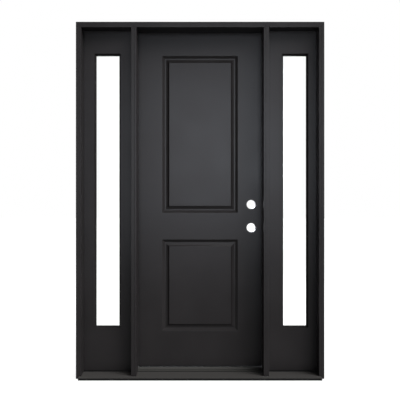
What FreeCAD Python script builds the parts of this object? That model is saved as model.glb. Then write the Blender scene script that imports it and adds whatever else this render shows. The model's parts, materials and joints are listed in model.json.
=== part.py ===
import FreeCAD, Part
import os
import PartDesign
import Sketcher

# Prehung entry unit: an inswing two-panel door between two fixed sidelights.
# X runs across the unit, Y from the outside inwards, Z up; Y = 0 is the frame's outer face.

SIZES = {
    # frame
    "unit_width": 1448,
    "unit_height": 2080,
    "jamb_depth": 167,
    "board": 19,
    "stop_thickness": 12,
    "door_opening": 766,
    "sidelight_stop_depth": 80,
    # sill
    "nose_reach": 34,
    "nose_wall": 3,
    "tread_height": 18.3,
    "tread_fall": 4.6,
    "tread_sheet": 2,
    "cap_rise": 14.7,
    "cap_step": 3.3,
    "cap_lip": 4,
    "block_setback": 3,
    "block_height": 8.7,
    # door leaf
    "door_thickness": 44.5,
    "door_flush": 0.5,
    "door_seal_space": 10,
    "door_skin": 2,
    "hinge_gap": 5,
    "strike_gap": 5.5,
    "head_gap": 5,
    "sill_gap": 5,
    "latch_bevel": 2.3,
    "hinge_stile_width": 40,
    "top_rail_height": 45,
    "bottom_rail_height": 70,
    "sweep_drop": 5,
    "sweep_base": 2,
    "sweep_fin": 2,
    "sweep_inset": 4,
    # moulded panels of the door
    "stile_face": 150,
    "bottom_rail_face": 209,
    "lower_panel_height": 551.5,
    "lock_rail_face": 161,
    "top_rail_face": 144.5,
    "slope_width": 15,
    "slope_depth": 11,
    "ledge_width": 7,
    "cove_width": 10,
    "cove_rise": 3,
    "field_rise": 10,
    "field_depth": 1,
    # lock preparation
    "lock_height": 875.5,
    "bolt_spacing": 139.7,
    "lock_backset": 69.85,
    "lock_bore_radius": 26.99,
    "lock_wall": 18,
    "latch_bore_radius": 12.7,
    "faceplate_length": 57.2,
    "faceplate_width": 25.4,
    "faceplate_depth": 2.5,
    # weatherstrip
    "seal_width": 9,
    "seal_depth": 5,
    "seal_chamfer": 2.5,
    # hinges
    "leaf_height": 101.6,
    "leaf_width": 38,
    "leaf_thickness": 2.5,
    "knuckle_radius": 6.5,
    "knuckle_gap": 0.4,
    "pin_radius": 4,
    "pin_clearance": 0.05,
    "pin_offset": 7,
    "pin_head_radius": 6,
    "pin_head_height": 3,
    "pin_tip_height": 1.5,
    "top_hinge_drop": 178,
    "bottom_hinge_rise": 254,
    # sidelights
    "sidelight_thickness": 44.5,
    "lite_width": 156.5,
    "lite_bottom_rail": 252.5,
    "lite_top_rail": 146.5,
    "lite_outset": 6,
    "lite_shift": 7,
    "bead_width": 8,
    "bead_depth": 11,
    "bead_lip": 3,
    "glass_thickness": 3,
    "glass_clearance": 0.5,
    "inner_stop_depth": 12.5,
}

KNUCKLES = 5
SWEEP_FINS = 3
FRAME_KNUCKLES = 3
DOOR_KNUCKLES = 2

doc = FreeCAD.newDocument("door_with_sidelights")


class Size:
    """A length that carries both its value and the expression that binds it to the sheet."""

    def __init__(self, value, text):
        self.value = value
        self.text = text

    @staticmethod
    def of(other):
        if isinstance(other, Size):
            return other
        return Size(other, str(other))

    def join(self, other, sign, value):
        return Size(value, "(%s %s %s)" % (self.text, sign, other.text))

    def __add__(self, other):
        other = Size.of(other)
        return self.join(other, "+", self.value + other.value)

    def __radd__(self, other):
        return Size.of(other) + self

    def __sub__(self, other):
        other = Size.of(other)
        return self.join(other, "-", self.value - other.value)

    def __rsub__(self, other):
        return Size.of(other) - self

    def __mul__(self, other):
        other = Size.of(other)
        return self.join(other, "*", self.value * other.value)

    def __rmul__(self, other):
        return Size.of(other) * self

    def __truediv__(self, other):
        other = Size.of(other)
        return self.join(other, "/", self.value / other.value)

    def __neg__(self):
        return Size(-self.value, "(0 - %s)" % self.text)


class Sheet:
    """The spreadsheet of driving dimensions, one aliased cell a size."""

    def __init__(self, sizes):
        table = doc.addObject("Spreadsheet::Sheet", "Sizes")
        for row, (alias, value) in enumerate(sizes.items(), 1):
            table.set("A%d" % row, alias)
            table.set("B%d" % row, str(value))
            table.setAlias("B%d" % row, alias)
            setattr(self, alias, Size(value, "Sizes." + alias))
        doc.recompute()


s = Sheet(SIZES)
nodes = []


def bind(thing, path, size):
    thing.setExpression(path, Size.of(size).text)


def place(thing, x=0, y=0, z=0):
    for axis, size in (("x", x), ("y", y), ("z", z)):
        bind(thing, "Placement.Base." + axis, size)


def keep(thing, label):
    """Mark an object of the document as a finished piece of the unit."""
    thing.Label = label
    nodes.append(thing)
    return thing


def block(label, x, y, z):
    """A plain board between two values on each axis."""
    box = doc.addObject("Part::Box", label)
    box.Label = label
    for side, (low, high) in (("Length", x), ("Width", y), ("Height", z)):
        bind(box, side, Size.of(high) - low)
    place(box, x[0], y[0], z[0])
    return box


def rod(label, radius, length, at, direction):
    """A round bar from a point along an axis of the unit."""
    bar = doc.addObject("Part::Cylinder", label)
    bar.Label = label
    bind(bar, "Radius", radius)
    bind(bar, "Height", length)
    bar.Placement.Rotation = FreeCAD.Rotation(FreeCAD.Vector(0, 0, 1), FreeCAD.Vector(*direction))
    place(bar, *at)
    return bar


def carve(label, base, tools):
    """A piece with every tool cut out of it."""
    for index, tool in enumerate(tools):
        cut = doc.addObject("Part::Cut", "%s_cut%d" % (label, index))
        cut.Base = base
        cut.Tool = tool
        base = cut
    return base


def origin_plane(body, role):
    return next(item for item in body.Origin.OriginFeatures if item.Role == role)


def new_body(label):
    body = doc.addObject("PartDesign::Body", label)
    body.Label = label
    return body


def new_sketch(body, role):
    sketch = body.newObject("Sketcher::SketchObject", "sketch")
    sketch.AttachmentSupport = [(origin_plane(body, role), "")]
    sketch.MapMode = "FlatFace"
    return sketch


def pin_point(sketch, geometry, position, point):
    """Hold one point of a sketch at two sizes from the sketch's origin."""
    for kind, size in (("DistanceX", point[0]), ("DistanceY", point[1])):
        size = Size.of(size)
        index = sketch.addConstraint(Sketcher.Constraint(kind, -1, 1, geometry, position, size.value))
        bind(sketch, "Constraints[%d]" % index, size)


def draw_lines(sketch, points, closed=True):
    """Straight edges through the points, each point held by its own two sizes."""
    first = sketch.GeometryCount
    spots = [FreeCAD.Vector(Size.of(x).value, Size.of(y).value, 0) for x, y in points]
    ends = spots[1:] + spots[:1] if closed else spots[1:]
    for start, end in zip(spots, ends):
        sketch.addGeometry(Part.LineSegment(start, end))
    last = sketch.GeometryCount - 1
    for index in range(first, last):
        sketch.addConstraint(Sketcher.Constraint("Coincident", index, 2, index + 1, 1))
    if closed:
        sketch.addConstraint(Sketcher.Constraint("Coincident", last, 2, first, 1))
    for index, point in enumerate(points):
        if first + index <= last:
            pin_point(sketch, first + index, 1, point)
        else:
            pin_point(sketch, last, 2, point)


def draw_circle(sketch, centre, radius):
    spot = FreeCAD.Vector(Size.of(centre[0]).value, Size.of(centre[1]).value, 0)
    circle = sketch.addGeometry(Part.Circle(spot, FreeCAD.Vector(0, 0, 1), radius.value))
    pin_point(sketch, circle, 3, centre)
    index = sketch.addConstraint(Sketcher.Constraint("Radius", circle, radius.value))
    bind(sketch, "Constraints[%d]" % index, radius)


def rectangle(x, y):
    return [(x[0], y[0]), (x[1], y[0]), (x[1], y[1]), (x[0], y[1])]


def pad(body, sketch, length, inwards=False):
    """Thicken a sketch; inwards turns the pad of an XZ sketch towards +Y."""
    feature = body.newObject("PartDesign::Pad", "pad")
    feature.Profile = sketch
    feature.Reversed = inwards
    bind(feature, "Length", length)
    return feature


def panel_plate(body, loops, circles, thickness):
    """A plate in the XZ plane, thickened inwards from its own Y = 0."""
    sketch = new_sketch(body, "XZ_Plane")
    for loop in loops:
        draw_lines(sketch, loop)
    for centre, radius in circles:
        draw_circle(sketch, centre, radius)
    return pad(body, sketch, thickness, inwards=True)


def extrusion(label, points, x):
    """A YZ profile drawn once and run along X between two values."""
    body = new_body(label)
    sketch = new_sketch(body, "YZ_Plane")
    draw_lines(sketch, points)
    pad(body, sketch, Size.of(x[1]) - x[0])
    place(body, x=x[0])
    return body


def mitred_ring(body, half_width, z, profile):
    """A profile, given as (depth, inset from the edge), swept round a rectangle with mitred corners."""
    path = new_sketch(body, "XZ_Plane")
    corners = [(half_width, z[0]), (half_width, z[1]), (-half_width, z[1]), (-half_width, z[0])]
    draw_lines(path, [(0, z[0])] + corners)
    section = new_sketch(body, "YZ_Plane")
    draw_lines(section, [(depth, z[0] + inset) for depth, inset in profile])
    ring = body.newObject("PartDesign::AdditivePipe", "ring")
    ring.Profile = section
    ring.Spine = (path, [])
    ring.Transition = "Right corner"
    return ring


# places worked out from the sheet
HALF_UNIT = s.unit_width / 2
JAMB_FACE = HALF_UNIT - s.board
MULLION_FACE = s.door_opening / 2
MULLION_BACK = MULLION_FACE + s.board
DOOR_STOP_FACE = MULLION_FACE - s.stop_thickness
HEAD_UNDER = s.unit_height - s.board
HEAD_STOP_UNDER = HEAD_UNDER - s.stop_thickness

DOOR_BACK = s.jamb_depth - s.door_flush
DOOR_FRONT = DOOR_BACK - s.door_thickness
STOP_DEPTH = DOOR_FRONT - s.door_seal_space
CORE_FRONT = DOOR_FRONT + s.door_skin
CORE_BACK = DOOR_BACK - s.door_skin

NOSE_HEIGHT = s.tread_height - s.tread_fall
TREAD_SLOPE = s.tread_fall / (s.nose_reach + s.sidelight_stop_depth)
TREAD_AT_FACE = NOSE_HEIGHT + TREAD_SLOPE * s.nose_reach
CAP_TOP = s.tread_height + s.cap_rise
BLOCK_TOP = s.tread_height + s.block_height
CAP_FACE = [
    (s.sidelight_stop_depth, s.tread_height),
    (s.sidelight_stop_depth, s.tread_height + s.cap_step),
    (STOP_DEPTH, CAP_TOP - s.cap_lip),
]

SWEEP_BOTTOM = CAP_TOP + s.sill_gap
DOOR_BOTTOM = SWEEP_BOTTOM + s.sweep_drop
DOOR_TOP = HEAD_UNDER - s.head_gap
DOOR_LEFT = s.hinge_gap - MULLION_FACE
DOOR_RIGHT = MULLION_FACE - s.strike_gap
DOOR_MIDDLE = (DOOR_LEFT + DOOR_RIGHT) / 2
DOOR_HALF = (DOOR_RIGHT - DOOR_LEFT) / 2
HINGE_STILE_EDGE = DOOR_LEFT + s.hinge_stile_width
LOCK_X = DOOR_RIGHT - s.lock_backset
LOCK_STILE_EDGE = LOCK_X - s.lock_bore_radius - s.lock_wall
BOLT_HEIGHTS = (s.lock_height, s.lock_height + s.bolt_spacing)

PANEL_HALF = DOOR_HALF - s.stile_face
LOWER_PANEL = (DOOR_BOTTOM + s.bottom_rail_face, DOOR_BOTTOM + s.bottom_rail_face + s.lower_panel_height)
UPPER_PANEL = (LOWER_PANEL[1] + s.lock_rail_face, DOOR_TOP - s.top_rail_face)
MOULDING_WIDTH = s.slope_width + s.ledge_width + s.cove_width + s.field_rise

PIN_X = DOOR_LEFT - s.hinge_gap / 2
PIN_Y = DOOR_BACK + s.pin_offset
LEAF_FRONT = DOOR_BACK - s.leaf_width
TOP_HINGE = DOOR_TOP - s.top_hinge_drop - s.leaf_height
BOTTOM_HINGE = DOOR_BOTTOM + s.bottom_hinge_rise
HINGES = {"top": TOP_HINGE, "middle": (TOP_HINGE + BOTTOM_HINGE) / 2, "bottom": BOTTOM_HINGE}

LITE_HALF = s.lite_width / 2
LITE = (BLOCK_TOP + s.lite_bottom_rail, HEAD_UNDER - s.lite_top_rail)
GLASS_FRONT = s.sidelight_stop_depth + s.bead_depth
SIDELIGHT_BACK = s.sidelight_stop_depth + s.sidelight_thickness
GLASS_BACK = SIDELIGHT_BACK - s.bead_depth
SIDES = {"left": -1, "right": 1}


def across(sign, near, far):
    """The X span between two distances from the unit's middle, on one side of it."""
    return (near, far) if sign > 0 else (-far, -near)


def hinge_mortises(label, x):
    """Three shallow seats for hinge leaves, open to the inside."""
    return [
        block("%s_%s_seat" % (label, name), x, (LEAF_FRONT, s.jamb_depth), (z, z + s.leaf_height))
        for name, z in HINGES.items()
    ]


def frame_boards():
    head = block("head_jamb", (-HALF_UNIT, HALF_UNIT), (0, s.jamb_depth), (HEAD_UNDER, s.unit_height))
    keep(head, "head_jamb")
    for side, sign in SIDES.items():
        name = side + "_jamb"
        keep(block(name, across(sign, JAMB_FACE, HALF_UNIT), (0, s.jamb_depth), (0, HEAD_UNDER)), name)
    foot = [
        (0, TREAD_AT_FACE),
        (s.sidelight_stop_depth, s.tread_height),
        (s.jamb_depth, s.tread_height),
        (s.jamb_depth, HEAD_UNDER),
        (0, HEAD_UNDER),
    ]
    keep(extrusion("strike_mullion", foot, (MULLION_FACE, MULLION_BACK)), "strike_mullion")
    blank = extrusion("hinge_mullion_blank", foot, (-MULLION_BACK, -MULLION_FACE))
    seats = hinge_mortises("mullion", (-MULLION_FACE - s.leaf_thickness, -MULLION_FACE))
    keep(carve("hinge_mullion", blank, seats), "hinge_mullion")


def stops():
    """Stops against which the door closes and the sidelights sit, coped to the sill at their feet."""
    door_foot = [
        (0, TREAD_AT_FACE),
        *CAP_FACE,
        (STOP_DEPTH, HEAD_STOP_UNDER),
        (0, HEAD_STOP_UNDER),
    ]
    for name, sign in (("door_hinge_stop", -1), ("door_strike_stop", 1)):
        keep(extrusion(name, door_foot, across(sign, DOOR_STOP_FACE, MULLION_FACE)), name)
    head_z = (HEAD_STOP_UNDER, HEAD_UNDER)
    head = block("door_head_stop", (-MULLION_FACE, MULLION_FACE), (0, STOP_DEPTH), head_z)
    keep(head, "door_head_stop")
    side_foot = [
        (0, TREAD_AT_FACE),
        (s.sidelight_stop_depth, s.tread_height),
        (s.sidelight_stop_depth, HEAD_STOP_UNDER),
        (0, HEAD_STOP_UNDER),
    ]
    for side, sign in SIDES.items():
        name = side + "_sidelight_side_stop"
        keep(extrusion(name, side_foot, across(sign, JAMB_FACE - s.stop_thickness, JAMB_FACE)), name)
        name = side + "_sidelight_head_stop"
        span = across(sign, MULLION_BACK, JAMB_FACE)
        keep(block(name, span, (0, s.sidelight_stop_depth), head_z), name)


def sill():
    """A metal tread with a nose over a base, and a ramped cap with a raised lip under the door."""
    nose = -s.nose_reach
    inside = s.nose_wall - s.nose_reach
    under = s.tread_height - s.tread_sheet
    inside_height = NOSE_HEIGHT + TREAD_SLOPE * s.nose_wall - s.tread_sheet
    crease = s.sidelight_stop_depth
    tread = [
        (nose, 0),
        (nose, NOSE_HEIGHT),
        (crease, s.tread_height),
        (s.jamb_depth, s.tread_height),
        (s.jamb_depth, under),
        (crease, under),
        (inside, inside_height),
        (inside, 0),
    ]
    base = [
        (inside, 0),
        (inside, inside_height),
        (crease, under),
        (s.jamb_depth, under),
        (s.jamb_depth, 0),
    ]
    cap = [
        *CAP_FACE,
        (STOP_DEPTH, CAP_TOP),
        (s.jamb_depth, CAP_TOP),
        (s.jamb_depth, s.tread_height),
    ]
    keep(extrusion("sill_tread", tread, (-JAMB_FACE, JAMB_FACE)), "sill_tread")
    keep(extrusion("sill_base", base, (-JAMB_FACE, JAMB_FACE)), "sill_base")
    keep(extrusion("threshold_cap", cap, (-MULLION_FACE, MULLION_FACE)), "threshold_cap")


def weatherstrip():
    """One soft bead up the hinge stop, across the head and down the strike stop, mitred at the corners."""
    body = new_body("door_weatherstrip")
    middle = MULLION_FACE - s.stop_thickness / 2
    top = HEAD_UNDER - s.stop_thickness / 2 - CAP_TOP
    path = new_sketch(body, "XZ_Plane")
    draw_lines(path, [(-middle, 0), (-middle, top), (middle, top), (middle, 0)], closed=False)
    low = -middle - s.seal_width / 2
    high = s.seal_width / 2 - middle
    section = new_sketch(body, "XY_Plane")
    outline = [
        (low, 0),
        (high, 0),
        (high, s.seal_depth - s.seal_chamfer),
        (high - s.seal_chamfer, s.seal_depth),
        (low + s.seal_chamfer, s.seal_depth),
        (low, s.seal_depth - s.seal_chamfer),
    ]
    draw_lines(section, outline)
    bead = body.newObject("PartDesign::AdditivePipe", "bead")
    bead.Profile = section
    bead.Spine = (path, [])
    bead.Transition = "Right corner"
    place(body, y=STOP_DEPTH, z=CAP_TOP)
    keep(body, "door_weatherstrip")


def hinge_leaf(label, sign, first, count, z):
    """One leaf of a butt hinge, seated flush, with its share of the knuckles; the body's Z axis is the pin's."""
    body = new_body(label)
    thick = (sign * s.hinge_gap / 2, sign * (s.hinge_gap / 2 + s.leaf_thickness))
    pitch = s.leaf_height / KNUCKLES
    plate = new_sketch(body, "XY_Plane")
    draw_lines(plate, rectangle(thick, (-(s.pin_offset + s.leaf_width), -s.pin_offset)))
    pad(body, plate, s.leaf_height)
    tab = new_sketch(body, "XY_Plane")
    draw_lines(tab, rectangle(thick, (-s.pin_offset, 0)))
    barrel = new_sketch(body, "XY_Plane")
    draw_circle(barrel, (0, 0), s.knuckle_radius)
    knuckle = []
    for sketch in (tab, barrel):
        bind(sketch, "AttachmentOffset.Base.z", first * pitch + s.knuckle_gap / 2)
        knuckle.append(pad(body, sketch, pitch - s.knuckle_gap))
    row = body.newObject("PartDesign::LinearPattern", "knuckles")
    row.Originals = knuckle
    row.Direction = (origin_plane(body, "Z_Axis"), [""])
    row.Occurrences = count
    bind(row, "Length", 2 * (count - 1) * pitch)
    body.Tip = row
    hole = new_sketch(body, "XY_Plane")
    draw_circle(hole, (0, 0), s.pin_radius + s.pin_clearance)
    bore = body.newObject("PartDesign::Pocket", "pin_hole")
    bore.Profile = hole
    bore.Reversed = True
    bind(bore, "Length", s.leaf_height)
    place(body, PIN_X, PIN_Y, z)
    keep(body, label)


def hinge_pin(label, z):
    """A loose pin whose button head rests on the top knuckle."""
    body = new_body(label)
    shoulder = s.leaf_height - s.knuckle_gap / 2
    outline = new_sketch(body, "XZ_Plane")
    half = [
        (0, 0),
        (s.pin_radius, 0),
        (s.pin_radius, shoulder),
        (s.pin_head_radius, shoulder),
        (s.pin_head_radius, shoulder + s.pin_head_height),
        (0, shoulder + s.pin_head_height + s.pin_tip_height),
    ]
    draw_lines(outline, half)
    turned = body.newObject("PartDesign::Revolution", "turned")
    turned.Profile = outline
    turned.ReferenceAxis = (outline, ["V_Axis"])
    turned.Angle = 360
    place(body, PIN_X, PIN_Y, z)
    keep(body, label)


def hinges():
    for name, z in HINGES.items():
        hinge_leaf(name + "_hinge_frame_leaf", -1, 0, FRAME_KNUCKLES, z)
        hinge_leaf(name + "_hinge_door_leaf", 1, 1, DOOR_KNUCKLES, z)
        hinge_pin(name + "_hinge_pin", z)


def ring_piece(label, x, y, half_width, z, profile):
    body = new_body(label)
    mitred_ring(body, half_width, z, profile)
    place(body, x, y)
    keep(body, label)


def sidelight(side, sign):
    """A fixed panel with one narrow insulating glass, beads on both faces and stops that hold it inside."""
    name = side + "_sidelight_"
    x = across(sign, MULLION_BACK, JAMB_FACE)
    centre = sign * ((MULLION_BACK + JAMB_FACE) / 2 + s.lite_outset) + s.lite_shift
    around = rectangle((x[0] - centre, x[1] - centre), (BLOCK_TOP, HEAD_UNDER))

    panel = new_body(name + "panel")
    panel_plate(panel, [around, rectangle((-LITE_HALF, LITE_HALF), LITE)], [], s.sidelight_thickness)
    place(panel, centre, s.sidelight_stop_depth)
    keep(panel, name + "panel")

    pane_half = LITE_HALF - s.glass_clearance
    pane_z = (LITE[0] + s.glass_clearance, LITE[1] - s.glass_clearance)
    pane_x = (centre - pane_half, centre + pane_half)
    fronts = {"outer": GLASS_FRONT, "inner": GLASS_BACK - s.glass_thickness}
    glass = doc.addObject("Part::Compound", name + "glass")
    glass.Links = [
        block(name + layer + "_pane", pane_x, (y, y + s.glass_thickness), pane_z)
        for layer, y in fronts.items()
    ]
    keep(glass, name + "glass")

    width = s.bead_width - s.glass_clearance
    depth = fronts["inner"] - GLASS_FRONT - s.glass_thickness
    spacer_y = GLASS_FRONT + s.glass_thickness
    ring_piece(name + "spacer", centre, spacer_y, pane_half, pane_z, rectangle((0, depth), (0, width)))
    bevel = s.bead_depth - s.bead_lip
    outer_bead = [(0, 0), (s.bead_depth, 0), (s.bead_depth, s.bead_width), (bevel, s.bead_width)]
    inner_bead = [(0, 0), (s.bead_depth, 0), (s.bead_lip, s.bead_width), (0, s.bead_width)]
    ring_piece(name + "exterior_bead", centre, s.sidelight_stop_depth, LITE_HALF, LITE, outer_bead)
    ring_piece(name + "interior_bead", centre, GLASS_BACK, LITE_HALF, LITE, inner_bead)

    strip_y = (SIDELIGHT_BACK, SIDELIGHT_BACK + s.inner_stop_depth)
    strip_spans = {"first": (x[0], x[0] + s.stop_thickness), "second": (x[1] - s.stop_thickness, x[1])}
    strips = doc.addObject("Part::Compound", name + "interior_stops")
    strips.Links = [
        block(name + strip + "_strip", span, strip_y, (BLOCK_TOP, HEAD_UNDER))
        for strip, span in strip_spans.items()
    ]
    keep(strips, name + "interior_stops")

    block_y = (s.sidelight_stop_depth + s.block_setback, s.jamb_depth)
    keep(block(name + "sill_block", x, block_y, (s.tread_height, BLOCK_TOP)), name + "sill_block")


def moulding_face():
    """The moulded edge of a panel from the stile to the raised field, as (depth, inset) points."""
    ledge = s.slope_width + s.ledge_width
    return [
        (0, 0),
        (s.slope_depth, s.slope_width),
        (s.slope_depth, ledge),
        (s.slope_depth - s.cove_rise, ledge + s.cove_width),
        (s.field_depth, MOULDING_WIDTH),
    ]


def field_pad(body, z, start, thickness):
    """The flat field inside a panel's moulding, from a depth below the stile face."""
    inner = PANEL_HALF - MOULDING_WIDTH
    sketch = new_sketch(body, "XZ_Plane")
    draw_lines(sketch, rectangle((-inner, inner), (z[0] + MOULDING_WIDTH, z[1] - MOULDING_WIDTH)))
    bind(sketch, "AttachmentOffset.Base.z", -start)
    pad(body, sketch, thickness, inwards=True)


def face_inwards(body, sign, y):
    """Put a body on the door's outer face, or turned round on its inner face."""
    if sign < 0:
        body.Placement.Rotation = FreeCAD.Rotation(FreeCAD.Vector(0, 0, 1), 180)
    place(body, DOOR_MIDDLE, y)


def door_skin(label, sign, y, strike_edge):
    """A thin pressed sheet with two moulded panels and the lock holes, seen from its own side."""
    body = new_body(label)
    edges = (-DOOR_HALF, strike_edge) if sign > 0 else (-strike_edge, DOOR_HALF)
    loops = [rectangle(edges, (DOOR_BOTTOM, DOOR_TOP))]
    loops += [rectangle((-PANEL_HALF, PANEL_HALF), z) for z in (LOWER_PANEL, UPPER_PANEL)]
    bore_x = sign * (LOCK_X - DOOR_MIDDLE)
    bores = [((bore_x, z), s.lock_bore_radius) for z in BOLT_HEIGHTS]
    panel_plate(body, loops, bores, s.door_skin)
    face = moulding_face()
    back = [(depth + s.door_skin, inset) for depth, inset in reversed(face)]
    for z in (LOWER_PANEL, UPPER_PANEL):
        mitred_ring(body, PANEL_HALF, z, face + back)
        field_pad(body, z, s.field_depth, s.door_skin)
    face_inwards(body, sign, y)
    return body


def panel_relief(label, sign, y, z):
    """The space that a panel of the skin takes out of the core."""
    body = new_body(label)
    face = moulding_face()
    mitred_ring(body, PANEL_HALF, z, face + [(0, MOULDING_WIDTH)])
    field_pad(body, z, Size.of(0), s.field_depth)
    face_inwards(body, sign, y)
    return body


def door_core():
    x = (HINGE_STILE_EDGE, LOCK_STILE_EDGE)
    z = (DOOR_BOTTOM + s.bottom_rail_height, DOOR_TOP - s.top_rail_height)
    blank = block("door_core_blank", x, (CORE_FRONT, CORE_BACK), z)
    reliefs = [
        panel_relief("relief_%s_%s" % (face, row), sign, y, panel)
        for face, sign, y in (("exterior", 1, CORE_FRONT), ("interior", -1, CORE_BACK))
        for row, panel in (("lower", LOWER_PANEL), ("upper", UPPER_PANEL))
    ]
    keep(carve("door_core", blank, reliefs), "door_core")
    top = block("door_top_rail", x, (CORE_FRONT, CORE_BACK), (z[1], DOOR_TOP))
    keep(top, "door_top_rail")
    bottom = block("door_bottom_rail", x, (CORE_FRONT, CORE_BACK), (DOOR_BOTTOM, z[0]))
    keep(bottom, "door_bottom_rail")


def bevelled_edge(y):
    """The X of the latch edge at a depth: it leans so that the door clears the strike side."""
    return DOOR_RIGHT - s.latch_bevel * (DOOR_BACK - y) / s.door_thickness


def lock_stile():
    """The wide stile on the strike side, with its lock holes, latch holes and faceplate seats."""
    body = new_body("door_lock_stile_blank")
    outline = new_sketch(body, "XY_Plane")
    corners = [
        (LOCK_STILE_EDGE, CORE_FRONT),
        (bevelled_edge(CORE_FRONT), CORE_FRONT),
        (bevelled_edge(CORE_BACK), CORE_BACK),
        (LOCK_STILE_EDGE, CORE_BACK),
    ]
    draw_lines(outline, corners)
    pad(body, outline, DOOR_TOP - DOOR_BOTTOM)
    place(body, z=DOOR_BOTTOM)
    middle = (DOOR_FRONT + DOOR_BACK) / 2
    seat_x = (bevelled_edge(middle) - s.faceplate_depth, DOOR_RIGHT)
    seat_y = (middle - s.faceplate_width / 2, middle + s.faceplate_width / 2)
    tools = []
    for name, z in zip(("latch", "bolt"), BOLT_HEIGHTS):
        through = (LOCK_X, DOOR_FRONT, z)
        tools.append(rod(name + "_lock_hole", s.lock_bore_radius, s.door_thickness, through, (0, 1, 0)))
        edge = (LOCK_X, middle, z)
        tools.append(rod(name + "_edge_hole", s.latch_bore_radius, s.lock_backset, edge, (1, 0, 0)))
        seat_z = (z - s.faceplate_length / 2, z + s.faceplate_length / 2)
        tools.append(block(name + "_faceplate_seat", seat_x, seat_y, seat_z))
    keep(carve("door_lock_stile", body, tools), "door_lock_stile")


def door_sweep():
    """A strip under the door with soft fins along its length."""
    front = DOOR_FRONT + s.sweep_inset
    back = DOOR_BACK - s.sweep_inset
    root = DOOR_BOTTOM - s.sweep_base
    step = (back - front - s.sweep_fin) / (SWEEP_FINS - 1)
    comb = [(front, DOOR_BOTTOM), (back, DOOR_BOTTOM)]
    for fin in reversed(range(SWEEP_FINS)):
        y = front + fin * step
        edges = [(y + s.sweep_fin, root), (y + s.sweep_fin, SWEEP_BOTTOM), (y, SWEEP_BOTTOM), (y, root)]
        if fin == SWEEP_FINS - 1:
            edges = edges[1:]
        if fin == 0:
            edges = edges[:-1]
        comb += edges
    x = (DOOR_LEFT + s.sweep_inset, DOOR_RIGHT - s.latch_bevel - s.sweep_inset)
    keep(extrusion("door_sweep", comb, x), "door_sweep")


def door_leaf():
    exterior = door_skin("door_exterior_skin", 1, DOOR_FRONT, DOOR_HALF - s.latch_bevel)
    keep(exterior, "door_exterior_skin")
    seat_x = (DOOR_LEFT, DOOR_LEFT + s.leaf_thickness)
    seats = hinge_mortises("door", seat_x)
    interior = door_skin("door_interior_skin_blank", -1, DOOR_BACK, DOOR_HALF)
    keep(carve("door_interior_skin", interior, seats), "door_interior_skin")
    stile_x = (DOOR_LEFT, HINGE_STILE_EDGE)
    blank = block("door_hinge_stile_blank", stile_x, (CORE_FRONT, CORE_BACK), (DOOR_BOTTOM, DOOR_TOP))
    keep(carve("door_hinge_stile", blank, seats), "door_hinge_stile")
    lock_stile()
    door_core()
    door_sweep()


def check_document():
    """Stop before anything is written if an object failed or a piece isn't a sound solid."""
    for item in doc.Objects:
        if "Invalid" in item.State or "Error" in item.State:
            raise RuntimeError("%s failed: %s" % (item.Label, item.State))
    for node in nodes:
        shape = node.Shape
        if shape.isNull() or not shape.isValid() or not shape.Solids:
            raise RuntimeError("%s is not a sound solid" % node.Label)


frame_boards()
stops()
sill()
weatherstrip()
hinges()
for side_name, side_sign in SIDES.items():
    sidelight(side_name, side_sign)
door_leaf()
doc.recompute()
check_document()
os.makedirs("parts", exist_ok=True)
for node in nodes:
    node.Shape.exportStep("parts/%s.step" % node.Label)
    print("%-32s %2d solids %12.1f mm3" % (node.Label, len(node.Shape.Solids), node.Shape.Volume))
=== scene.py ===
import json
import math

import bmesh
import bpy
from mathutils import Matrix, Vector


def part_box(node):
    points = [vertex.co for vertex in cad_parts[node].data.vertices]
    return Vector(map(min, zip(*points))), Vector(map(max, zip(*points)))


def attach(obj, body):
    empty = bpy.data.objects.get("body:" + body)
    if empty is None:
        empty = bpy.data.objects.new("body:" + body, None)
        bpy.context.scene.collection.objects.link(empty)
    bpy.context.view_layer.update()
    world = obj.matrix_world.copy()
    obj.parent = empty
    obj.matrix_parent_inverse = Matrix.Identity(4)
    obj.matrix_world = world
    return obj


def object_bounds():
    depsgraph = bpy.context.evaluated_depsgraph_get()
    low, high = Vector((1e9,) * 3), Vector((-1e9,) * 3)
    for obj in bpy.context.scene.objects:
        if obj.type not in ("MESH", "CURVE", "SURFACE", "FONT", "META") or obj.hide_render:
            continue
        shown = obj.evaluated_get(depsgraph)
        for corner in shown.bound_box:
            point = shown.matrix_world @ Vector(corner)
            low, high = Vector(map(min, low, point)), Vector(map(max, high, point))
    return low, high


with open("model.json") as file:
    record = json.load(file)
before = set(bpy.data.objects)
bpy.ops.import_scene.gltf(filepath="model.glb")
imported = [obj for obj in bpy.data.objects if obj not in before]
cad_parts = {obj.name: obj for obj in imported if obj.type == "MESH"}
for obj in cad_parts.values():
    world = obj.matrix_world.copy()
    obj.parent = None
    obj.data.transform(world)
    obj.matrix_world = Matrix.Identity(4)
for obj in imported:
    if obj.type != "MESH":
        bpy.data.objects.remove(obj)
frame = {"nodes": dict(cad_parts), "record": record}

CAD_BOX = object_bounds()
NODES = frame["nodes"]
WHITE = (1.0, 1.0, 1.0)
QUARTER_TURN = 90.0        # degrees

# camera, from the photograph: level, square on to the unit, 400 x 400 pixels
VIEW_DISTANCE = 3.425      # metres from the frame's outer face
VIEW_WIDTH = 2.3297        # metres seen across at that face
VIEW_RISE = 0.002          # metres above the middle of the unit
VIEW_SIDE = -0.0006        # metres along X, so a little left of the middle
SENSOR_WIDTH = 36.0

# floor and surroundings
WORLD_LEVEL = 0.02         # what the surroundings give to matt surfaces
FLOOR_SIZE = 60.0
FLOOR_GREY = (0.16, 0.16, 0.16)
FLOOR_ROUGHNESS = 0.9
FLOOR_GLOW = 0.87          # the rest of the floor's white is lit, so that it keeps a shadow

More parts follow.
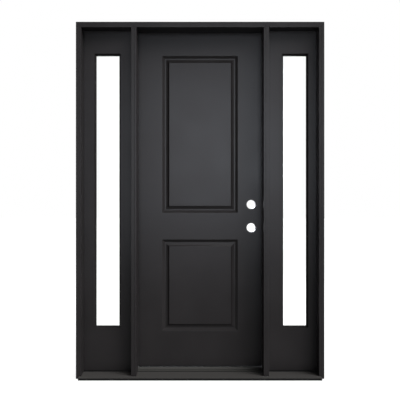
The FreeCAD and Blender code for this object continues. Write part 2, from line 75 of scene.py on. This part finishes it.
# lamps: name, place, point faced, width and height in metres, watts, beam in degrees
COOL = (0.85, 0.91, 1.0)
CARDS = [
    ("card", (0.3, -2.8, 1.7), (0.15, 0.1, 1.45), (1.4, 1.5), 8.0, 60.0),
    ("card_wide", (0.0, -2.8, 1.58), (0.0, 0.1, 1.35), (2.2, 2.2), 10.3, 60.0),
    ("card_left", (-0.5, -2.8, 1.75), (0.0, 0.1, 1.45), (1.0, 1.4), 0.6, 90.0),
    ("back_card", (-0.3, 3.0, 1.7), (-0.15, 0.1, 1.45), (1.4, 1.5), 8.0, 60.0),
    ("back_wide", (0.0, 3.0, 1.58), (0.0, 0.1, 1.35), (2.2, 2.2), 10.3, 60.0),
]
FILLS = [
    ("left_fill", (-3.6, 1.2, 2.4), (-0.7, 0.1, 1.1), (1.5, 1.5), 65.0, 180.0),
    ("behind", (1.6, 3.6, 3.2), (0.0, 0.1, 1.1), (1.5, 1.5), 260.0, 180.0),
]
# suns: name, degrees right of the front, degrees above the floor, strength, width in degrees
SUNS = [
    ("high_right", 58.0, 38.0, 4.5, 34.0),
    ("front_right", 30.0, 35.0, 1.8, 30.0),
]

# colours
BLACK = (0.0133, 0.0121, 0.0125)
BEAD_BLACK = (0.0155, 0.0145, 0.0147)
SPACER_BLACK = (0.008, 0.008, 0.008)
HINGE_BLACK = (0.018, 0.018, 0.018)
RUBBER_BLACK = (0.012, 0.012, 0.012)
FOAM_YELLOW = (0.6, 0.5, 0.28)
SILL_PAINTED_SHADE = (0.006, 0.006, 0.006)         # painted shade: near black for the sill's upright faces, the cap's front step and the composite sill blocks
# painted light: the tread's faces that look up are lighter, as if lit from above
TREAD_PAINTED_LIGHT = (0.036, 0.0345, 0.0332)
CAP_RAMP = (0.028, 0.0275, 0.0257)
# painted highlight: a lighter band along the top of the cap's ramp
CAP_LIP_PAINTED_HIGHLIGHT = (0.048, 0.0472, 0.0448)
CAP_PAINTED_BANDS = [(0.0, SILL_PAINTED_SHADE), (0.0214, CAP_RAMP), (0.0288, CAP_LIP_PAINTED_HIGHLIGHT)]   # each from a height up: painted shade on the front step, then the ramp, then a painted highlight along the top

# finishes: noise scales per metre, bump depths in metres
MIDDLE_LOW = 0.3           # a 0 to 1 value is used between these two
MIDDLE_HIGH = 0.7
CLOUD_SCALE = 5.0
CLOUD_DETAIL = 3.0
CLOUD_TONE = 0.1           # share of the colour
CLOUD_GLOSS = 0.03         # step in roughness
PEEL_SCALE = 420.0
PEEL_DETAIL = 2.0
PEEL_DEPTH = 0.00006
LINE_STRETCH = (1.5, 900.0, 900.0)
LINE_DETAIL = 3.0
LINE_GRIT = 0.6            # the noise's own roughness
LINE_GLOSS = 0.05
LINE_DEPTH = 0.00004
PIT_SCALE = 260.0
FOAM_PIT_SCALE = 600.0
PIT_DETAIL = 4.0
PIT_GRIT = 0.65
PIT_TONE = 0.2
PIT_GLOSS = 0.06
PIT_DEPTH = 0.0001
MATT = 0.0                 # specular levels, this and the four below
SILL_SHEEN = 0.06
PAINT_SHEEN = 0.07
MOULDED_SHEEN = 0.3
METAL_SHEEN = 0.4
PAINT_ROUGHNESS = 0.33
METAL_ROUGHNESS = 0.35
SILL_ROUGHNESS = 0.55
BEAD_ROUGHNESS = 0.6
BASE_ROUGHNESS = 0.7
RUBBER_ROUGHNESS = 0.75
SPACER_ROUGHNESS = 0.8
FOAM_ROUGHNESS = 0.9
GLASS_TINT = (0.997, 1.0, 0.998)
GLASS_ROUGHNESS = 0.02
GLASS_MIRROR = 0.006       # share that each face of a pane mirrors, seen square on
GLASS_POWER = 5.0          # how late the mirroring rises as the pane is seen more aslant
EVEN_WEIGHT = 0.5          # Layer Weight's blend at which Facing is 1 less the cosine

# eased edges, in metres and degrees
BOARD_EASE = 0.0012
SKIN_EASE = 0.0007
HINGE_EASE = 0.0003
EASE_SEGMENTS = 2
EASE_ANGLE = 25.0          # sharper edges than this are eased
WELD_GAP = 0.00001

# hinge screws, in metres and degrees
SCREW_RADIUS = 0.0043
SCREW_RIM = 0.0002         # height of the head's straight edge
SCREW_CROWN = 0.0006       # height of its flat top
SCREW_TOP_RADIUS = 0.0034
SCREW_SIDES = 28
RECESS_ARM = 0.0024        # from the middle to the end of an arm of the cross
RECESS_HALF = 0.0005       # half the width of an arm
RECESS_FLOOR = 0.0001      # height of the cross's floor
RECESS_ARMS = 4
SCREW_SPIN = 25.0          # how far the first cross is turned
SCREW_SPIN_STEP = 40.0     # and each next one further
# shares of the way up a leaf, and from its outer edge to the door's inner face
SCREW_ROWS = [(0.11, 0.3), (0.37, 0.66), (0.63, 0.66), (0.89, 0.3)]


def material(name):
    """A new node material, with its tree and its principled shader."""
    mat = bpy.data.materials.new(name)
    mat.use_nodes = True
    tree = mat.node_tree
    return mat, tree, tree.nodes["Principled BSDF"]


def node(tree, kind, **settings):
    """A new node, with sockets or settings given by their names."""
    made = tree.nodes.new(kind)
    for key, value in settings.items():
        if key in made.inputs:
            made.inputs[key].default_value = value
        else:
            setattr(made, key.lower(), value)
    return made


def place_coords(tree, stretch=(1.0, 1.0, 1.0)):
    """Object coordinates in metres, scaled along each axis."""
    coords = tree.nodes.new("ShaderNodeTexCoord")
    mapping = node(tree, "ShaderNodeMapping", Scale=stretch)
    tree.links.new(coords.outputs["Object"], mapping.inputs["Vector"])
    return mapping.outputs["Vector"]


def noise(tree, coords, scale, detail, grit=0.5):
    """A 0 to 1 noise in three dimensions."""
    made = node(tree, "ShaderNodeTexNoise", Scale=scale, Detail=detail, Roughness=grit)
    tree.links.new(coords, made.inputs["Vector"])
    return made.outputs["Fac"]


def spread(tree, value, middle, step):
    """The middle of a 0 to 1 value, brought to a step each side of another value."""
    made = tree.nodes.new("ShaderNodeMapRange")
    made.inputs["From Min"].default_value = MIDDLE_LOW
    made.inputs["From Max"].default_value = MIDDLE_HIGH
    made.inputs["To Min"].default_value = middle - step
    made.inputs["To Max"].default_value = middle + step
    tree.links.new(value, made.inputs["Value"])
    return made.outputs["Result"]


def tint(tree, value, dark, light):
    """The middle of a 0 to 1 value, as a colour between two."""
    ramp = tree.nodes.new("ShaderNodeValToRGB")
    low, high = ramp.color_ramp.elements
    low.position = MIDDLE_LOW
    low.color = (*dark, 1.0)
    high.position = MIDDLE_HIGH
    high.color = (*light, 1.0)
    tree.links.new(value, ramp.inputs["Fac"])
    return ramp.outputs["Color"]


def shaded(tree, value, colour, share):
    """A colour made darker and lighter by a share of itself."""
    dark = tuple(channel * (1.0 - share) for channel in colour)
    light = tuple(channel * (1.0 + share) for channel in colour)
    return tint(tree, value, dark, light)


def bump(tree, height, depth):
    """A normal from a 0 to 1 height."""
    made = node(tree, "ShaderNodeBump", Distance=depth)
    tree.links.new(height, made.inputs["Height"])
    return made.outputs["Normal"]


def connect(tree, shader, colour, rough, normal, specular):
    """Give a principled shader its colour, roughness, normal and specular level."""
    tree.links.new(colour, shader.inputs["Base Color"])
    tree.links.new(rough, shader.inputs["Roughness"])
    tree.links.new(normal, shader.inputs["Normal"])
    shader.inputs["Specular IOR Level"].default_value = specular


def paint(name, colour, rough, specular):
    """Factory paint: a slight cloud in tone and gloss, and a fine orange peel."""
    mat, tree, shader = material(name)
    coords = place_coords(tree)
    cloud = noise(tree, coords, CLOUD_SCALE, CLOUD_DETAIL)
    peel = noise(tree, coords, PEEL_SCALE, PEEL_DETAIL)
    clouded = shaded(tree, cloud, colour, CLOUD_TONE)
    gloss = spread(tree, cloud, rough, CLOUD_GLOSS)
    connect(tree, shader, clouded, gloss, bump(tree, peel, PEEL_DEPTH), specular)
    return mat


def painted_light_by_slope(tree, steep, level):
    """Painted light and shade: one colour for upright faces and another for faces that look up,
    blended between, standing in for light from above.
    """
    facing = tree.nodes.new("ShaderNodeNewGeometry")
    axes = tree.nodes.new("ShaderNodeSeparateXYZ")
    tree.links.new(facing.outputs["Normal"], axes.inputs["Vector"])
    return tint(tree, axes.outputs["Z"], steep, level)


def painted_light_by_height(tree, *marks):
    """Colours by height above the floor, as (metres, colour) marks, each held up to the next;
    used to paint shade and a highlight in bands on the cap.
    """
    coords = tree.nodes.new("ShaderNodeTexCoord")
    axes = tree.nodes.new("ShaderNodeSeparateXYZ")
    tree.links.new(coords.outputs["Object"], axes.inputs["Vector"])
    top = marks[-1][0] * 2
    span = tree.nodes.new("ShaderNodeMapRange")
    span.inputs["From Max"].default_value = top
    tree.links.new(axes.outputs["Z"], span.inputs["Value"])
    ramp = tree.nodes.new("ShaderNodeValToRGB")
    ramp.color_ramp.interpolation = "CONSTANT"
    elements = ramp.color_ramp.elements
    while len(elements) < len(marks):
        elements.new(1.0)
    for element, (height, colour) in zip(elements, marks):
        element.position = height / top
        element.color = (*colour, 1.0)
    tree.links.new(span.outputs["Result"], ramp.inputs["Fac"])
    return ramp.outputs["Color"]


def sill_coat_with_painted_light(name, colour_of, colours):
    """A dark sill coating in the colours given, which carry painted light and shade, with fine
    drawn lines along X.
    """
    mat, tree, shader = material(name)
    lines = noise(tree, place_coords(tree, LINE_STRETCH), 1.0, LINE_DETAIL, LINE_GRIT)
    gloss = spread(tree, lines, SILL_ROUGHNESS, LINE_GLOSS)
    normal = bump(tree, lines, LINE_DEPTH)
    connect(tree, shader, colour_of(tree, *colours), gloss, normal, SILL_SHEEN)
    return mat


def moulded(name, colour, rough, specular=MOULDED_SHEEN, pit_scale=PIT_SCALE):
    """Moulded composite, rubber or foam: dull, with a pitted skin."""
    mat, tree, shader = material(name)
    pits = noise(tree, place_coords(tree), pit_scale, PIT_DETAIL, PIT_GRIT)
    pitted = shaded(tree, pits, colour, PIT_TONE)
    gloss = spread(tree, pits, rough, PIT_GLOSS)
    connect(tree, shader, pitted, gloss, bump(tree, pits, PIT_DEPTH), specular)
    return mat


def clear_glass(name):
    """Thin clear glazing, which mirrors more the further it is seen aslant."""
    mat, tree, shader = material(name)
    tree.nodes.remove(shader)
    through = node(tree, "ShaderNodeBsdfTransparent", Color=(*GLASS_TINT, 1.0))
    gloss = node(tree, "ShaderNodeBsdfGlossy", Roughness=GLASS_ROUGHNESS)
    slant = node(tree, "ShaderNodeLayerWeight", Blend=EVEN_WEIGHT)
    curve = node(tree, "ShaderNodeMath", Operation="POWER")
    curve.inputs[1].default_value = GLASS_POWER
    tree.links.new(slant.outputs["Facing"], curve.inputs[0])
    share = tree.nodes.new("ShaderNodeMapRange")
    share.inputs["To Min"].default_value = GLASS_MIRROR
    tree.links.new(curve.outputs["Value"], share.inputs["Value"])
    mix = tree.nodes.new("ShaderNodeMixShader")
    tree.links.new(share.outputs["Result"], mix.inputs["Fac"])
    tree.links.new(through.outputs["BSDF"], mix.inputs[1])
    tree.links.new(gloss.outputs["BSDF"], mix.inputs[2])
    tree.links.new(mix.outputs["Shader"], tree.nodes["Material Output"].inputs["Surface"])
    return mat


def slot_nodes(slot):
    """The CAD nodes that the record gives a material slot."""
    subparts = frame["record"]["subparts"]
    return [part["node"] for part in subparts if part["material_slot"] == slot]


def dress(names, mat, ease=0.0):
    """Give CAD nodes a material and, where asked, slightly eased edges."""
    for name in names:
        piece = NODES[name]
        piece.data.materials.clear()
        piece.data.materials.append(mat)
        if ease:
            weld = piece.modifiers.new("weld", "WELD")
            weld.merge_threshold = WELD_GAP
            edge = piece.modifiers.new("ease", "BEVEL")
            edge.width = ease
            edge.segments = EASE_SEGMENTS
            edge.limit_method = "ANGLE"
            edge.angle_limit = math.radians(EASE_ANGLE)


def dress_nodes():
    """Materials and eased edges for every CAD node; returns the hinges' material."""
    door_paint = paint("door_paint", BLACK, PAINT_ROUGHNESS, PAINT_SHEEN)
    sidelight_paint = paint("sidelight_paint", BLACK, PAINT_ROUGHNESS, PAINT_SHEEN)
    frame_paint = paint("frame_paint", BLACK, PAINT_ROUGHNESS, PAINT_SHEEN)
    bead_paint = paint("bead_paint", BEAD_BLACK, BEAD_ROUGHNESS, MATT)
    # painted light on the tread where it looks up, painted shade on the sill's upright faces
    sill_metal = sill_coat_with_painted_light("sill_metal", painted_light_by_slope, (SILL_PAINTED_SHADE, TREAD_PAINTED_LIGHT))
    # painted shade: the composite blocks near black, deepening the dark gap under the sidelight
    # panels
    sill_composite = moulded("sill_composite", SILL_PAINTED_SHADE, BASE_ROUGHNESS, specular=SILL_SHEEN)
    # painted shade low on the cap's front step, a painted highlight along its top
    cap_composite = sill_coat_with_painted_light("cap_composite", painted_light_by_height, CAP_PAINTED_BANDS)
    seal_rubber = moulded("seal_rubber", RUBBER_BLACK, RUBBER_ROUGHNESS)
    hinge_metal = paint("hinge_metal", HINGE_BLACK, METAL_ROUGHNESS, METAL_SHEEN)
    foam = moulded("foam", FOAM_YELLOW, FOAM_ROUGHNESS, pit_scale=FOAM_PIT_SCALE)
    glass = clear_glass("glass")
    spacer_coat = paint("spacer_coat", SPACER_BLACK, SPACER_ROUGHNESS, MATT)

    painted = slot_nodes("sidelight_paint")
    beads = [name for name in painted if name.endswith("_bead")]
    panels = [name for name in painted if name not in beads]
    dress(slot_nodes("door_paint"), door_paint, ease=SKIN_EASE)
    dress(slot_nodes("door_edge"), frame_paint)
    dress(panels, sidelight_paint, ease=SKIN_EASE)
    dress(beads, bead_paint, ease=SKIN_EASE)
    dress(slot_nodes("frame_paint"), frame_paint, ease=BOARD_EASE)
    dress(slot_nodes("sill_metal"), sill_metal, ease=BOARD_EASE)
    dress(slot_nodes("sill_composite"), sill_composite)
    dress(slot_nodes("cap_composite"), cap_composite, ease=BOARD_EASE)
    dress(slot_nodes("seal"), seal_rubber)
    dress(slot_nodes("hinge_metal"), hinge_metal, ease=HINGE_EASE)
    dress(slot_nodes("door_foam"), foam)
    dress(slot_nodes("glass"), glass)
    dress(slot_nodes("spacer_metal"), spacer_coat)
    return hinge_metal


def ring(build, points, height):
    """New vertices at flat points, all at one height."""
    return [build.verts.new((x, y, height)) for x, y in points]


def joined(build, low, high):
    """Faces between two rings of as many points."""
    count = len(low)
    for i in range(count):
        j = (i + 1) % count
        build.faces.new((low[i], low[j], high[j], high[i]))


def loop_edges(build, points):
    """The edges round a ring, made where there are none yet."""
    edges = []
    for start, end in zip(points, points[1:] + points[:1]):
        edges.append(build.edges.get((start, end)) or build.edges.new((start, end)))
    return edges


def circle(radius):
    """The outline of a screw head, anticlockwise."""
    turns = [2 * math.pi * i / SCREW_SIDES for i in range(SCREW_SIDES)]
    return [(radius * math.cos(turn), radius * math.sin(turn)) for turn in turns]


def cross():
    """The outline of a cross recess, anticlockwise."""
    arm = [(RECESS_ARM, -RECESS_HALF), (RECESS_ARM, RECESS_HALF), (RECESS_HALF, RECESS_HALF)]
    points = []
    for _ in range(RECESS_ARMS):
        points += arm
        arm = [(-y, x) for x, y in arm]
    return points


def screw_head():
    """A low domed screw head with a cross recess, standing on Z = 0."""
    build = bmesh.new()
    foot = ring(build, circle(SCREW_RADIUS), 0.0)
    rim = ring(build, circle(SCREW_RADIUS), SCREW_RIM)
    top = ring(build, circle(SCREW_TOP_RADIUS), SCREW_CROWN)
    lip = ring(build, cross(), SCREW_CROWN)
    floor = ring(build, cross(), RECESS_FLOOR)
    build.faces.new(list(reversed(foot)))
    joined(build, foot, rim)
    joined(build, rim, top)
    crown = loop_edges(build, top) + loop_edges(build, lip)
    bmesh.ops.triangle_fill(build, use_beauty=True, edges=crown)
    joined(build, lip, floor)
    build.faces.new(floor)
    bmesh.ops.recalc_face_normals(build, faces=build.faces)
    mesh = bpy.data.meshes.new("screw_head")
    build.to_mesh(mesh)
    build.free()
    return mesh


def add_screws(head, mat, leaf, body, face, facing):
    """Screw heads on one hinge leaf, whose bare face is at an X and looks along +X or -X."""
    low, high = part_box(leaf)
    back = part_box("door_interior_skin")[1].y
    turn = Matrix.Rotation(math.radians(QUARTER_TURN * facing), 4, "Y")
    build = bmesh.new()
    for index, (up, across) in enumerate(SCREW_ROWS):
        at = Vector((face, low.y + (back - low.y) * across, low.z + (high.z - low.z) * up))
        spin = Matrix.Rotation(math.radians(SCREW_SPIN + SCREW_SPIN_STEP * index), 4, "Z")
        placed = head.copy()
        placed.transform(Matrix.Translation(at) @ turn @ spin)
        build.from_mesh(placed)
        bpy.data.meshes.remove(placed)
    mesh = bpy.data.meshes.new(leaf.replace("_leaf", "_screws"))
    build.to_mesh(mesh)
    build.free()
    mesh.materials.append(mat)
    screws = bpy.data.objects.new(mesh.name, mesh)
    bpy.context.scene.collection.objects.link(screws)
    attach(screws, body)


def add_all_screws(mat):
    """Screws on both leaves of each hinge."""
    head = screw_head()
    frame_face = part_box("hinge_mullion")[1].x
    door_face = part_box("door_hinge_stile")[0].x
    for hinge in ("top", "middle", "bottom"):
        add_screws(head, mat, hinge + "_hinge_frame_leaf", "frame", frame_face, 1)
        add_screws(head, mat, hinge + "_hinge_door_leaf", "door", door_face, -1)
    bpy.data.meshes.remove(head)


def add_camera():
    """The photograph's camera."""
    low, high = CAD_BOX
    data = bpy.data.cameras.new("camera")
    data.sensor_width = SENSOR_WIDTH
    data.lens = SENSOR_WIDTH * VIEW_DISTANCE / VIEW_WIDTH
    camera = bpy.data.objects.new("camera", data)
    camera.location = (VIEW_SIDE, -VIEW_DISTANCE, (low.z + high.z) / 2 + VIEW_RISE)
    camera.rotation_euler = (math.radians(QUARTER_TURN), 0.0, 0.0)
    bpy.context.scene.collection.objects.link(camera)
    bpy.context.scene.camera = camera


def seen_directly(tree):
    """1 for rays from the camera, off a glossy surface or through glass, else 0."""
    path = tree.nodes.new("ShaderNodeLightPath")
    total = path.outputs["Is Camera Ray"]
    for name in ("Is Glossy Ray", "Is Transmission Ray"):
        both = node(tree, "ShaderNodeMath", Operation="MAXIMUM")
        tree.links.new(total, both.inputs[0])
        tree.links.new(path.outputs[name], both.inputs[1])
        total = both.outputs["Value"]
    return total


def add_floor():
    """A pale floor: white where it is seen and lit, darker in the object's shadow."""
    mesh = bpy.data.meshes.new("floor")
    build = bmesh.new()
    bmesh.ops.create_grid(build, x_segments=1, y_segments=1, size=FLOOR_SIZE / 2)
    build.to_mesh(mesh)
    build.free()
    floor = bpy.data.objects.new("floor", mesh)
    bpy.context.scene.collection.objects.link(floor)
    mat, tree, shader = material("floor")
    shader.inputs["Base Color"].default_value = (*FLOOR_GREY, 1.0)
    shader.inputs["Roughness"].default_value = FLOOR_ROUGHNESS
    glow = node(tree, "ShaderNodeEmission", Color=(*WHITE, 1.0))
    scale = node(tree, "ShaderNodeMath", Operation="MULTIPLY")
    scale.inputs[1].default_value = FLOOR_GLOW
    tree.links.new(seen_directly(tree), scale.inputs[0])
    tree.links.new(scale.outputs["Value"], glow.inputs["Strength"])
    both = tree.nodes.new("ShaderNodeAddShader")
    tree.links.new(shader.outputs["BSDF"], both.inputs[0])
    tree.links.new(glow.outputs["Emission"], both.inputs[1])
    tree.links.new(both.outputs["Shader"], tree.nodes["Material Output"].inputs["Surface"])
    mesh.materials.append(mat)


def add_world():
    """Surroundings that are white where they are seen, and give little light themselves."""
    world = bpy.data.worlds.new("surroundings")
    world.use_nodes = True
    tree = world.node_tree
    background = tree.nodes["Background"]
    background.inputs["Color"].default_value = (*WHITE, 1.0)
    level = tree.nodes.new("ShaderNodeMapRange")
    level.inputs["To Min"].default_value = WORLD_LEVEL
    level.inputs["To Max"].default_value = 1.0
    tree.links.new(seen_directly(tree), level.inputs["Value"])
    tree.links.new(level.outputs["Result"], background.inputs["Strength"])
    bpy.context.scene.world = world


def area_light(name, at, target, size, power, beam, colour, in_gloss):
    """A soft box that shows only in glossy surfaces, or else lights only matt ones."""
    data = bpy.data.lights.new(name, "AREA")
    data.shape = "RECTANGLE"
    data.size, data.size_y = size
    data.energy = power
    data.color = colour
    data.spread = math.radians(beam)
    lamp = bpy.data.objects.new(name, data)
    lamp.location = at
    lamp.visible_camera = False
    lamp.visible_diffuse = not in_gloss
    lamp.visible_glossy = in_gloss
    lamp.rotation_euler = (Vector(target) - Vector(at)).to_track_quat("-Z", "Y").to_euler()
    bpy.context.scene.collection.objects.link(lamp)


def sun_light(name, azimuth, elevation, strength, width):
    """Parallel soft light from an angle right of the front and an angle above the floor."""
    data = bpy.data.lights.new(name, "SUN")
    data.energy = strength
    data.angle = math.radians(width)
    lamp = bpy.data.objects.new(name, data)
    tilt = math.radians(QUARTER_TURN - elevation)
    lamp.rotation_euler = (tilt, 0.0, math.radians(azimuth))
    bpy.context.scene.collection.objects.link(lamp)


def add_lamps():
    """Cards for the gloss, fills for the back and left, and suns for the front."""
    for card in CARDS:
        area_light(*card, COOL, in_gloss=True)
    for fill in FILLS:
        area_light(*fill, WHITE, in_gloss=False)
    for sun in SUNS:
        sun_light(*sun)


hinge_finish = dress_nodes()
add_all_screws(hinge_finish)
add_camera()
add_floor()
add_world()
add_lamps()

bpy.context.scene.view_settings.view_transform = "Standard"
